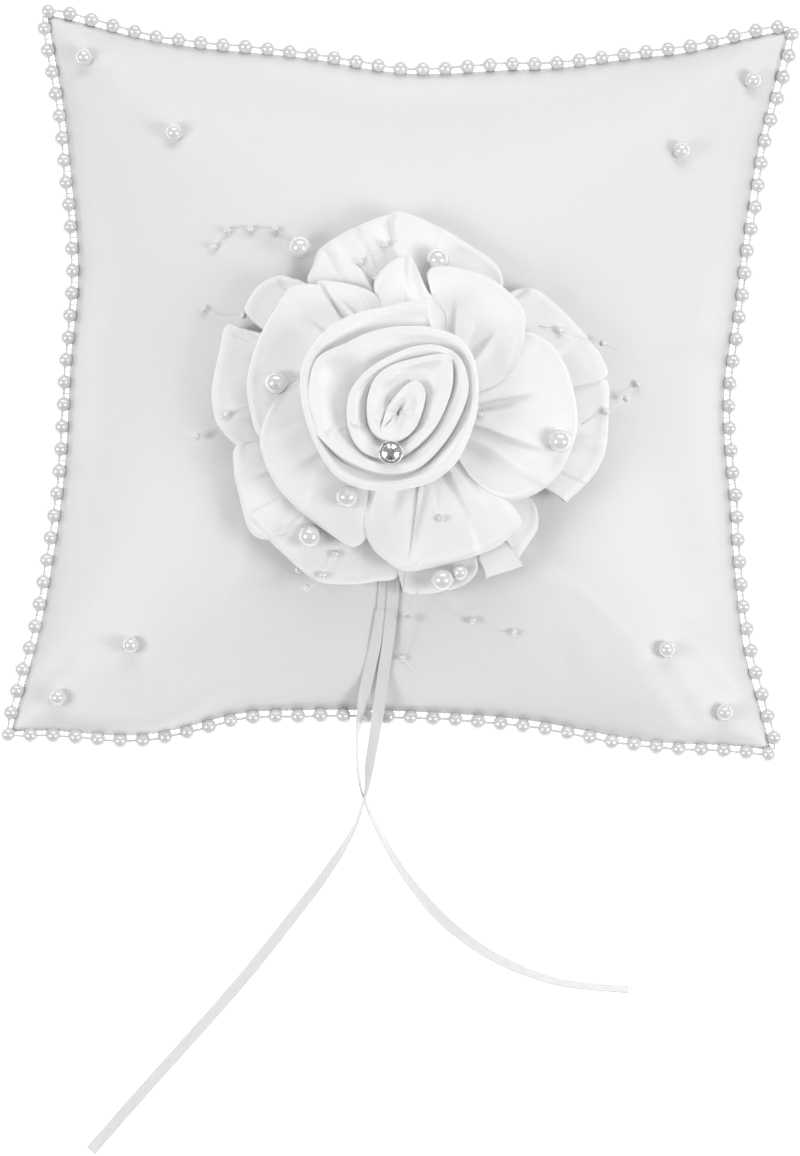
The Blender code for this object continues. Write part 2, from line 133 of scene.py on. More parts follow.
# Pillow cover: two squares of white polyester satin, sewn face to face and turned, then
# stuffed. The sides pull in between the corners, and the back lies flat on the table.
PANEL_WIDTH = 191.0
PANEL_LENGTH = 183.0
SIDE_PULL = 10.5
END_PULL = 8.2
SEAM_HEIGHT = 25.0
FRONT_RISE = 33.0
PUFF = 0.6
SEAM_HALF = 0.6
SEAM_REACH = 1.006
BACK_LOWEST = 0.4
COVER_CELLS = 64
CLOTH_FRAMES = 20
CLOTH_SHIFT = 3.5
INWARD_SHARE = 0.1
SEAM_CREASE = 0.85
ROSE_X = 3.0
ROSE_Y = -9.0
# How far the stuffed cover swells past its sewn outline, at even steps along each side.
SWELL_LEFT = (3.6, 2.2, 2.2, 2.6, 0.6, 1.2, 2.0)
SWELL_RIGHT = (6.0, 3.2, 2.9, 1.0, 2.8, 2.6, 4.2)
SWELL_BOTTOM = (4.0, 8.0, 3.2, 2.8, 2.6, 4.2, 1.2)
SWELL_TOP = (4.6, 2.7, 3.3, 0.8, 2.4, 4.4, 8.0)


def swell(steps, share):
    """Smooth value between even steps, for a share from -1 to 1."""
    place = (min(max(share, -1.0), 1.0) + 1.0) / 2.0 * (len(steps) - 1)
    step = min(int(place), len(steps) - 2)
    ease = 0.5 - 0.5 * math.cos(math.pi * (place - step))
    return steps[step] * (1.0 - ease) + steps[step + 1] * ease


def outline_push(u, v):
    """How far the swelling moves this grid position, in millimetres."""
    return (u ** 3 * swell(SWELL_RIGHT if u > 0.0 else SWELL_LEFT, v),
            v ** 3 * swell(SWELL_TOP if v > 0.0 else SWELL_BOTTOM, u))


def panel_point(u, v):
    """Grid position (-1 to 1) to millimetres on the table plane."""
    push = outline_push(u, v)
    return (u * (PANEL_WIDTH / 2.0 - SIDE_PULL * (1.0 - v * v)) + push[0],
            v * (PANEL_LENGTH / 2.0 - END_PULL * (1.0 - u * u)) + push[1])


def panel_position(x, y):
    """Millimetres to grid position, by repetition."""
    u, v = 0.0, 0.0
    for _ in range(16):
        push = outline_push(min(max(u, -1.0), 1.0), min(max(v, -1.0), 1.0))
        u, v = ((x - push[0]) / (PANEL_WIDTH / 2.0 - SIDE_PULL * (1.0 - v * v)),
                (y - push[1]) / (PANEL_LENGTH / 2.0 - END_PULL * (1.0 - u * u)))
    return u, v


def front_height(x, y):
    """Height of the front panel, in millimetres."""
    u, v = panel_position(x, y)
    full = max((1.0 - u * u) * (1.0 - v * v), 0.0) ** PUFF if abs(u) < 1.0 and abs(v) < 1.0 else 0.0
    return SEAM_HEIGHT + SEAM_HALF + FRONT_RISE * full


def smooth_step(low, high, value):
    """0 below low, 1 above high, and a smooth rise between."""
    share = min(max((value - low) / (high - low), 0.0), 1.0)
    return share * share * (3.0 - 2.0 * share)


def add_node(tree, kind, place, settings=(), **sockets):
    """One node, with its settings, and values or links for some of its inputs."""
    made = tree.nodes.new(kind)
    made.location = place
    for name, value in settings:
        setattr(made, name, value)
    set_inputs(made, **sockets)
    return made


# Fine weave, shared by the satin, the ribbon and the felt: warp and weft ribs, soft slubs and
# faint handling creases, given as a height and a mask.
weave = bpy.data.node_groups.new("fine_weave", "ShaderNodeTree")
for socket, default in (("Threads", 2600.0), ("Crease Scale", 60.0)):
    weave.interface.new_socket(socket, in_out="INPUT", socket_type="NodeSocketFloat").default_value = default
weave.interface.new_socket("Vector", in_out="INPUT", socket_type="NodeSocketVector")
for socket in ("Height", "Creases", "Mask"):
    weave.interface.new_socket(socket, in_out="OUTPUT", socket_type="NodeSocketFloat")
inside = add_node(weave, "NodeGroupInput", (-900, 0))
outside = add_node(weave, "NodeGroupOutput", (700, 0))
ribs = [add_node(weave, "ShaderNodeTexWave", (-500, height), [("bands_direction", direction)],
                 Vector=inside.outputs["Vector"], Scale=inside.outputs["Threads"], Distortion=0.6, Detail=1.0)
        for direction, height in (("X", 200), ("Y", -60))]
both = add_node(weave, "ShaderNodeMath", (-260, 100), [("operation", "MULTIPLY")])
weave.links.new(ribs[0].outputs["Fac"], both.inputs[0])
weave.links.new(ribs[1].outputs["Fac"], both.inputs[1])
slub = add_node(weave, "ShaderNodeTexNoise", (-500, -320), Vector=inside.outputs["Vector"],
                Scale=900.0, Detail=3.0, Roughness=0.6)
mixed = add_node(weave, "ShaderNodeMath", (-20, 60), [("operation", "MULTIPLY_ADD")])
mixed.inputs[1].default_value = 0.5
weave.links.new(both.outputs[0], mixed.inputs[0])
weave.links.new(slub.outputs["Fac"], mixed.inputs[2])
handled = add_node(weave, "ShaderNodeTexNoise", (-500, -600), Vector=inside.outputs["Vector"],
                   Scale=inside.outputs["Crease Scale"], Detail=4.0, Roughness=0.55, Distortion=0.7)
set_inputs(outside, Height=mixed.outputs[0], Creases=handled.outputs["Fac"], Mask=slub.outputs["Fac"])


def woven(name, colour, roughness, threads, weave_bump, crease_scale, crease_bump, sheen):
    """A cloth material on the fine weave: colour and roughness vary a little with the slubs."""
    made, tree, shader = new_material(name, colour, roughness, Sheen_Weight=sheen, Sheen_Roughness=0.35)
    place = add_node(tree, "ShaderNodeTexCoord", (-1400, 0))
    cloth = add_node(tree, "ShaderNodeGroup", (-1100, 0), [("node_tree", weave)],
                     Threads=threads, Crease_Scale=crease_scale, Vector=place.outputs["Object"])
    tint = add_node(tree, "ShaderNodeMix", (-700, 300), [("data_type", "RGBA")], Factor=cloth.outputs["Mask"],
                    A=(*[c * 0.965 for c in colour], 1.0), B=(*[min(c * 1.02, 1.0) for c in colour], 1.0))
    gloss = add_node(tree, "ShaderNodeMapRange", (-700, 60), Value=cloth.outputs["Mask"],
                     To_Min=roughness - 0.05, To_Max=roughness + 0.06)
    soft = add_node(tree, "ShaderNodeBump", (-700, -240), Height=cloth.outputs["Creases"],
                    Strength=crease_bump, Distance=0.0012)
    fine = add_node(tree, "ShaderNodeBump", (-450, -240), Height=cloth.outputs["Height"],
                    Normal=soft.outputs["Normal"], Strength=weave_bump, Distance=0.00006)
    set_inputs(shader, Base_Color=tint.outputs["Result"], Roughness=gloss.outputs["Result"],
               Normal=fine.outputs["Normal"])
    return made


satin = woven("white_satin", (0.78, 0.78, 0.785), 0.40, 2600.0, 0.35, 55.0, 0.16, 0.12)
petal_satin = woven("petal_satin", (0.865, 0.865, 0.87), 0.36, 3000.0, 0.3, 80.0, 0.10, 0.15)


def pick(*pieces):
    """Select these objects and nothing else, with the first one active."""
    bpy.ops.object.select_all(action="DESELECT")
    for piece in pieces:
        piece.select_set(True)
    bpy.context.view_layer.objects.active = pieces[0]


def merge_points(gap, outwards=True):
    """Merge the active mesh's points nearer than this, in metres, and turn its faces outwards."""
    bpy.ops.object.mode_set(mode="EDIT")
    bpy.ops.mesh.select_all(action="SELECT")
    bpy.ops.mesh.remove_doubles(threshold=gap)
    if outwards:
        bpy.ops.mesh.normals_make_consistent(inside=False)
    bpy.ops.object.mode_set(mode="OBJECT")


def shaped_grid(name, columns, rows, place):
    """A grid whose points (each -1 to 1) are moved to place(u, v), in millimetres."""
    bpy.ops.object.select_all(action="DESELECT")
    bpy.ops.mesh.primitive_grid_add(x_subdivisions=columns, y_subdivisions=rows, size=2.0)
    made = bpy.context.object
    made.name = name
    for vert in made.data.vertices:
        vert.co = Vector(place(vert.co.x, vert.co.y)) * MM
    return made


def joined(name, pieces, weld=0.0):
    """Join these objects into one, optionally welding points that meet."""
    pick(*pieces)
    bpy.ops.object.join()
    made = bpy.context.object
    made.name = name
    made.data.name = name
    if weld:
        merge_points(weld * MM)
    return made


def finish_smooth(piece, levels=0):
    """Subdivide if asked, apply, and shade smooth."""
    pick(piece)
    if levels:
        soft = piece.modifiers.new("Soft", "SUBSURF")
        soft.levels = levels
        soft.render_levels = levels
        bpy.ops.object.modifier_apply(modifier="Soft")
    bpy.ops.object.shade_smooth()


def cover_place(side):
    """One panel of the cover: up to the front (1) or down to the table (-1)."""
    def place(u, v):
        x, y = (SEAM_REACH * part for part in panel_point(u, v))
        rise = FRONT_RISE * max((1.0 - u * u) * (1.0 - v * v), 0.0) ** PUFF
        if side > 0:
            return x, y, SEAM_HEIGHT + rise
        return x, y, max(SEAM_HEIGHT - rise, BACK_LOWEST)
    return place


cover = joined("satin_cover", [shaped_grid("cover_" + half, COVER_CELLS, COVER_CELLS, cover_place(side))
                               for half, side in (("front", 1), ("back", -1))], weld=0.05)
rest_shape = [vert.co.copy() for vert in cover.data.vertices]
seam = cover.vertex_groups.new(name="seam")
for vert in cover.data.vertices:
    if abs(vert.co.z - SEAM_HEIGHT * MM) < 0.01 * MM:
        seam.add([vert.index], 1.0, "REPLACE")
sewn = cover.modifiers.new("Cloth", "CLOTH")
sewn.settings.quality = 6
sewn.settings.mass = 0.15
sewn.settings.tension_stiffness = 12.0
sewn.settings.compression_stiffness = 12.0
sewn.settings.bending_stiffness = 0.05
sewn.settings.use_pressure = True
sewn.settings.uniform_pressure_force = 4.0
sewn.settings.shrink_min = -0.035
sewn.settings.vertex_group_mass = "seam"
sewn.settings.effector_weights.gravity = 0.0
sewn.collision_settings.use_collision = False
for step in range(1, CLOTH_FRAMES + 1):
    bpy.context.scene.frame_set(step)
puffed = cover.evaluated_get(bpy.context.evaluated_depsgraph_get())
moved = [vert.co.copy() for vert in puffed.data.vertices]
pick(cover)
cover.modifiers.remove(sewn)
bpy.context.scene.frame_set(1)
for vert, start, end in zip(cover.data.vertices, rest_shape, moved):
    shift = end - start
    if shift.length > CLOTH_SHIFT * MM:
        shift = shift.normalized() * CLOTH_SHIFT * MM
    if shift.z * (start.z - SEAM_HEIGHT * MM) < 0.0:
        shift.z *= INWARD_SHARE
    vert.co = start + shift

# Creases that stuffing and handling leave: short valleys that run in from the seam.
CREASES = [((86, 13), (66, 6), 1.6, 3), ((-89, -23), (-76, -31), 1.3, 2.6),
           ((-93, -50), (-86, -56), 1.2, 2.4), ((78, -58), (88, -64), 1.1, 3),
           ((-94, -84), (-84, -74), 1.4, 2.6), ((93, 93), (86, 80), 0.9, 2.8),
           ((-90, 84), (-82, 74), 1, 2.4), ((91, -82), (82, -72), 1.1, 2.4),
           ((20, 80), (14, 66), 0.7, 3), ((-40, -80), (-36, -68), 0.7, 3),
           ((48, -79), (44, -66), 0.8, 3), ((-86, 30), (-74, 26), 0.8, 3)]
for vert in cover.data.vertices:
    x, y, z = vert.co / MM
    if z > SEAM_HEIGHT + 0.5:
        for start, end, depth, width in CREASES:
            along = Vector(end) - Vector(start)
            offset = Vector((x, y)) - Vector(start)
            share = offset.dot(along) / along.length_squared
            across = abs(offset.x * along.y - offset.y * along.x) / along.length
            reach = smooth_step(-0.25, 0.2, share) * (1.0 - smooth_step(0.5, 1.25, share))
            z -= reach * depth * math.exp(-(across / width) ** 2)
            z += reach * depth * 0.45 * math.exp(-((across - 2.0 * width) / width) ** 2)
        roof = front_height(x, y)
        near_rose = 1.0 - smooth_step(38.0, 88.0, math.hypot(x - ROSE_X, y - ROSE_Y))
        near_tail = (1.0 - smooth_step(7.0, 30.0, abs(x + 4.0))) * smooth_step(40.0, 50.0, -y)
        held = max(near_rose, near_tail)
        z = z * (1.0 - held) + min(z, roof - 0.1) * held
        z = min(z, roof + 4.0)
    elif z < SEAM_HEIGHT - 0.5:
        z = max(z, 0.3)
    vert.co = Vector((x, y, z)) * MM
fold = cover.data.attributes.new("crease_edge", "FLOAT", "EDGE")
for edge in cover.data.edges:
    if all(abs(cover.data.vertices[end].co.z / MM - SEAM_HEIGHT) < 0.5 for end in edge.vertices):
        fold.data[edge.index].value = SEAM_CREASE
finish_smooth(cover, 1)
for vert in cover.data.vertices:
    vert.co.z = max(vert.co.z, 0.05 * MM)
dress(cover, satin)
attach(cover, "pillow")
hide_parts("front_panel", "back_panel")

# Pearl trim: one string of hollow plastic pearls sewn all round the seam, a little loose, so
# the pearls stand off the satin by a hair here and there. Each has a moulded hole at its poles.
TRIM_PEARL = 4.2
TRIM_PITCH = 6.0
TRIM_GAP = -0.25
TRIM_STRING = 0.6


def pearl_material(name, colour, gloss):
    """Imitation pearl: a soft nacre body under a thin clear coat, slightly uneven in colour."""
    made, tree, shader = new_material(name, colour, gloss, Metallic=0.15, Specular_IOR_Level=0.7,
                                      Coat_Weight=1.0, Coat_Roughness=0.03,
                                      Subsurface_Weight=0.12, Subsurface_Radius=(0.001, 0.0009, 0.0008))
    place = add_node(tree, "ShaderNodeTexCoord", (-1100, 0))
    cloud = add_node(tree, "ShaderNodeTexNoise", (-850, 200), Vector=place.outputs["Object"],
                     Scale=260.0, Detail=3.0, Roughness=0.5)
    tint = add_node(tree, "ShaderNodeMix", (-520, 260), [("data_type", "RGBA")], Factor=cloud.outputs["Fac"],
                    A=(*[c * 0.93 for c in colour], 1.0),
                    B=(min(colour[0] * 1.03, 1.0), colour[1], min(colour[2] * 1.02, 1.0), 1.0))
    skin = add_node(tree, "ShaderNodeBump", (-300, -200), Height=cloud.outputs["Fac"],
                    Strength=0.06, Distance=0.0001)
    set_inputs(shader, Base_Color=tint.outputs["Result"], Normal=skin.outputs["Normal"])
    return made


trim_nacre = pearl_material("trim_nacre", (0.74, 0.74, 0.735), 0.2)


def line_length(line):
    """Length of a polyline, in its own units."""
    return sum((two - one).length for one, two in zip(line, line[1:]))


def even_points(dense, count):
    """This many points at equal distances along a fine polyline."""
    lengths = [0.0]
    for one, two in zip(dense, dense[1:]):
        lengths.append(lengths[-1] + (two - one).length)
    chosen = []
    leg = 0
    for index in range(count):
        wanted = lengths[-1] * index / (count - 1)
        while leg < len(dense) - 2 and lengths[leg + 1] < wanted:
            leg += 1
        share = (wanted - lengths[leg]) / max(lengths[leg + 1] - lengths[leg], 1e-9)
        chosen.append(dense[leg].lerp(dense[leg + 1], min(max(share, 0.0), 1.0)))
    return chosen


def edge_route(offset, steps=90):
    """The cover's outline at seam height, moved outwards."""
    outline = []
    for side in range(4):
        for step in range(steps):
            t = 2.0 * step / steps - 1.0
            u, v = ((t, -1.0), (1.0, t), (-t, 1.0), (-1.0, -t))[side]
            outline.append(Vector((*panel_point(u, v), SEAM_HEIGHT)))
    moved = []
    for index, point in enumerate(outline):
        along = outline[(index + 1) % len(outline)] - outline[index - 1]
        loose = 0.35 * noise.noise(point * 0.06) + 0.25 * noise.noise(point * 0.21)
        moved.append(point + Vector((along.y, -along.x, 0.0)).normalized() * (offset + loose)
                     + Vector((0.0, 0.0, 0.7 * noise.noise(point * 0.05 + Vector((9.0, 0.0, 0.0))))))
    return moved + [moved[0]]


def drilled_pearl(name, radius, segments=20, rings=14):
    """One pearl about the origin, holes along X: a sphere with its poles pressed in."""
    bpy.ops.object.select_all(action="DESELECT")
    bpy.ops.mesh.primitive_uv_sphere_add(segments=segments, ring_count=rings, radius=radius * MM)
    made = bpy.context.object
    made.name = name
    for vert in made.data.vertices:
        if abs(vert.co.z) > radius * MM * 0.985:
            vert.co.z *= 0.80
    made.data.transform(Matrix.Rotation(math.pi / 2.0, 4, "Y"))
    return made


def tube(name, points, radius, sides=8, closed=False):
    """A round thread or filament through these points, in millimetres, made a mesh."""
    curve = bpy.data.curves.new(name, "CURVE")
    curve.dimensions = "3D"
    curve.bevel_depth = radius * MM
    curve.bevel_resolution = max(sides // 2 - 2, 0)
    curve.use_fill_caps = not closed
    spline = curve.splines.new("POLY")
    spline.points.add(len(points) - 1)
    for spot, point in zip(spline.points, points):
        spot.co = (*(Vector(point) * MM), 1.0)
    spline.use_cyclic_u = closed
    made = bpy.data.objects.new(name, curve)
    bpy.context.scene.collection.objects.link(made)
    pick(made)
    bpy.ops.object.convert(target="MESH")
    made = bpy.context.object
    made.name = name
    merge_points(0.000001, outwards=False)
    bpy.ops.object.shade_smooth()
    return made


def placed_copy(master, name, place, along, scale=1.0):
    """A copy of a drilled pearl with its own mesh, its hole turned along a direction."""
    made = bpy.data.objects.new(name, master.data.copy())
    bpy.context.scene.collection.objects.link(made)
    spin = along.to_track_quat("X", "Z").to_matrix().to_4x4()
    made.data.transform(Matrix.Translation(place * MM) @ spin @ Matrix.Scale(scale, 4))
    return made


string_path = edge_route(TRIM_PEARL / 2.0 + TRIM_GAP)
trim_count = round(line_length(string_path) / TRIM_PITCH)
pearl_spots = even_points(string_path, trim_count + 1)[:-1]
master = drilled_pearl("trim_master", TRIM_PEARL / 2.0)
beads = []
for index, spot in enumerate(pearl_spots):
    along = (pearl_spots[(index + 1) % trim_count] - pearl_spots[index - 1]).normalized()
    size = 1.0 + 0.03 * noise.noise(spot * 3.1)
    beads.append(placed_copy(master, "trim_pearl_%d" % index, spot, along, size))
bpy.data.objects.remove(master)
trim = joined("pearl_string", beads)
finish_smooth(trim)
dress(trim, trim_nacre)
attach(trim, "pillow")
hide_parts("pearl_trim")

cotton = woven("white_thread", (0.74, 0.74, 0.74), 0.6, 5200.0, 0.4, 90.0, 0.1, 0.2)
string = tube("trim_string", even_points(string_path, trim_count * 3 + 1)[:-1], TRIM_STRING / 2.0, 6, True)
dress(string, cotton)
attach(string, "pillow")

# Trim stitches: small loops of the same thread that tie the string to the seam, one between
# every two pearls, drawn in under the edge. Each point is a way in from the string, and up.
STITCH = ((2.2, -0.4), (0.4, 0.4), (-0.3, 0.1), (0.4, -0.4), (2.2, -0.7))
STITCH_RADIUS = 0.1
loops = []
for index in range(trim_count):
    here = pearl_spots[index]
    after = pearl_spots[(index + 1) % trim_count]
    middle = (here + after) / 2.0
    along = (after - here).normalized()
    inward = Vector((-along.y, along.x, 0.0))
    loops.append(tube("stitch_%d" % index, [middle + inward * aside + Vector((0.0, 0.0, up))
                                            for aside, up in STITCH], STITCH_RADIUS, 6))
stitches = joined("trim_stitches", loops)
dress(stitches, cotton)
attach(stitches, "pillow")

# Face pearls: eight pearls sewn on the front, two in from each corner, each drawn down into
# the satin by its thread.
nacre = pearl_material("white_nacre", (0.78, 0.78, 0.775), 0.18)


def ground_under(x, y, targets):
    """Highest surface of these meshes under a place, in millimetres, or None."""
    best = None
    start = Vector((x * MM, y * MM, 0.3))
    for target in targets:
        hit, spot, _, _ = target.ray_cast(start, Vector((0.0, 0.0, -1.0)))
        if hit and (best is None or spot.z > best):
            best = spot.z
    return None if best is None else best / MM


def rest_height(x, y, radius, targets, cad_height):
    """Centre height at which a pearl rests on these meshes, kept near where the CAD has it."""
    tops = [ground_under(x, y, targets)]
    for step in range(6):
        angle = math.pi * step / 3.0
        tops.append(ground_under(x + 0.5 * radius * math.cos(angle),
                                 y + 0.5 * radius * math.sin(angle), targets))
    found = [top for top in tops if top is not None]
    if not found:
        return cad_height
    return min(max(max(found) + radius * 0.86, cad_height - 8.0), cad_height + 4.0)


def pearl_home(node):
    """Middle and radius of this node, in millimetres."""
    low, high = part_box(node)
    return (Vector(low) + Vector(high)) / 2.0 / MM, (high[2] - low[2]) / 2.0 / MM


def sewn_pearl(node, name, middle, radius, targets, master, hole):
    """A copy of this pearl in its node's place, resting on these meshes, its hole turned this way."""
    height = rest_height(middle.x, middle.y, radius, targets, middle.z)
    made = placed_copy(master, name, Vector((middle.x, middle.y, height)), Vector(hole).normalized())
    finish_smooth(made)
    dress(made, nacre)
    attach(made, "pillow")
    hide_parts(node)


# The back right outer pearl is drawn a little further out than the others.
CORNER_SHIFT = Vector((1.5, 3.0, 0.0))
for node in sorted(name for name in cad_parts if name.startswith("face_pearl_")):
    middle, radius = pearl_home(node)
    if node == "face_pearl_back_right_outer":
        middle += CORNER_SHIFT
    master = drilled_pearl("pearl_master", radius, 28, 20)
    sewn_pearl(node, node.replace("face_", "sewn_"), middle, radius, [cover], master,
               (math.cos(middle.x), math.sin(middle.x), 0.1))
    bpy.data.objects.remove(master)

# Felt, filling and seam thread: hidden pieces that come over from the CAD as they are. The
# felt disc carries the rose, and the wadding and the machine seam lie inside the cover.
WADDING_SHARE = 0.85
WADDING_UNDER = 6.0
WADDING_LOWEST = 2.5
felt = woven("white_felt", (0.80, 0.80, 0.80), 0.95, 900.0, 0.9, 240.0, 0.4, 0.3)
for name, cloth in (("felt_backing", felt), ("seam_thread", cotton)):
    dress(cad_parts[name], cloth)


def wadding_place(side):
    """Upper (1) or lower (-1) face of the wadding: the cover's shape drawn in, and lumpy."""
    def place(u, v):
        x, y = panel_point(u * WADDING_SHARE, v * WADDING_SHARE)
        full = max((1.0 - u * u) * (1.0 - v * v), 0.0) ** PUFF
        lump = 1.2 * noise.noise(Vector((x * 0.06, y * 0.06, side))) * full
        if side > 0:
            return x, y, SEAM_HEIGHT + (FRONT_RISE - WADDING_UNDER) * full + lump
        return x, y, max(SEAM_HEIGHT - (FRONT_RISE - WADDING_UNDER) * full + lump, WADDING_LOWEST)
    return place


wadding = joined("fibre_wadding", [shaped_grid("wadding_" + half, 40, 40, wadding_place(side))
                                   for half, side in (("top", 1), ("base", -1))], weld=0.05)
finish_smooth(wadding)
dress(wadding, felt)
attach(wadding, "pillow")
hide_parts("fibre_filling")

# Ruffles: two strips of satin, each folded in half lengthwise, gathered along the raw edges and
# sewn round in petals, so every petal has a soft folded rim and small pleats at its foot.
GATHER_RADIUS = 14.0
FOLD_PUFF = 0.62
FOLD_FROM = 0.97
FULL_PETAL = 26.0
PLEAT_SPREAD = 2.6
PETAL_ROWS = 50
PETAL_COLUMNS = 112
RIM_POINTS = 240


def smooth_route(controls, count):
    """Evenly spaced points along a smooth curve through the control points."""
    ends = [controls[0]] + list(controls) + [controls[-1]]
    dense = []
    for index in range(1, len(ends) - 2):
        before, start, stop, after = (Vector(ends[index + step]) for step in (-1, 0, 1, 2))
        for step in range(24):
            t = step / 24.0
            dense.append(0.5 * (2.0 * start + (stop - before) * t
                                + (2.0 * before - 5.0 * start + 4.0 * stop - after) * t ** 2
                                + (3.0 * start - before - 3.0 * stop + after) * t ** 3))
    dense.append(Vector(controls[-1]))
    return even_points(dense, count)


def knife_pleat(distance, depth, spread):
    """Height of a pressed pleat: it climbs slowly to its fold and drops off sharply past it."""
    if distance > 0.0:
        return depth * (math.exp(-(distance / 0.40) ** 2) - 0.45 * math.exp(-(distance / spread) ** 2))
    return depth * (1.0 + distance / (3.0 * spread)) * math.exp(-(distance / (1.7 * spread)) ** 2)


def gather_point(degrees):
    """A place on the circle where the ruffle's raw edges are gathered and sewn."""
    angle = math.radians(degrees)
    return Vector((ROSE_X + GATHER_RADIUS * math.cos(angle), ROSE_Y + GATHER_RADIUS * math.sin(angle), 0.0))


def along_line(line, u):
    """Leg, share of that leg and place on a polyline for a grid position from -1 to 1."""
    along = (u + 1.0) / 2.0 * (len(line) - 1)
    leg = min(int(along), len(line) - 2)
    return leg, along - leg, line[leg].lerp(line[leg + 1], along - leg)


def petal_place(petal, floor, lift, phase):
    """Where a petal's grid position falls; rows run from one raw edge, over the fold, to the other."""
    foot_from, foot_to, tilt, pleats, outline = petal
    route = [gather_point(foot_from)] + [Vector((x, y, 0.0)) for x, y in outline] + [gather_point(foot_to)]
    rim = smooth_route(route, RIM_POINTS)
    rim_length = line_length(rim)
    foot_length = math.radians(foot_to - foot_from) * GATHER_RADIUS

    def place(u, v):
        share = 1.0 - abs(v)
        reach = 1.0 - (1.0 - share) ** 1.6
        side = 1.0 if v < 0.0 else -1.0
        edge = along_line(rim, u)[2]
        foot = gather_point(foot_from + (foot_to - foot_from) * (u + 1.0) / 2.0)
        size = min((edge - foot).length / FULL_PETAL, 1.2)
        spot = foot.lerp(edge, reach)
        width = 0.5 * (foot_length + (rim_length - foot_length) * reach)
        pleat = 0.0
        for at, length, turned, depth in pleats:
            fade = 1.0 - smooth_step(length * 0.5, min(length * 1.2, 1.0), reach)
            if length < 0.0:
                fade = 0.8 * smooth_step(-length, 1.0, reach)
            lean = at + 0.04 * turned * math.sin(3.0 * reach)
            pleat += knife_pleat((u - lean) * width * turned, depth * fade, PLEAT_SPREAD)
        billow = 1.1 * math.sin(2.9 * u + 1.3 * phase) * math.sin(math.pi * reach * 0.9)
        ripple = 0.8 * smooth_step(0.5, 1.0, reach) * math.sin(6.3 * u + 2.0 * phase)
        dome = 1.9 * math.sin(math.pi * reach ** 0.8) - 0.9 * reach ** 6
        roll = math.exp(-((reach - 0.965) / 0.035) ** 2)
        half_fold = FOLD_PUFF * (0.35 + 0.35 * reach + 0.75 * roll)
        if reach > FOLD_FROM:
            half_fold *= math.sqrt(max(1.0 - ((reach - FOLD_FROM) / 0.03) ** 2, 0.0))
        slope = -tilt * u * (0.3 + 0.7 * reach)
        shape = (lift * reach + dome + billow + ripple) * size ** 0.6 + slope + pleat * min(size * 1.5, 1.0)
        return spot.x, spot.y, front_height(spot.x, spot.y) + floor + shape + side * half_fold
    return place


SEAM_GAP = 0.00001


def folded_satin(made):
    """Close a folded strip's seams, shade it smooth and give it the petals' satin."""
    merge_points(SEAM_GAP)
    finish_smooth(made)
    dress(made, petal_satin)
    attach(made, "pillow")


def gathered_ruffle(name, petals, floor, lift):
    """A whole ruffle: its petals, each folded double, joined in one piece."""
    sheets = []
    for index, petal in enumerate(petals):
        sheets.append(shaped_grid("%s_%d" % (name, index), PETAL_COLUMNS, PETAL_ROWS,
                                  petal_place(petal, floor, lift, 1.7 * index + 0.4)))
    made = joined(name, sheets)
    folded_satin(made)
    return made


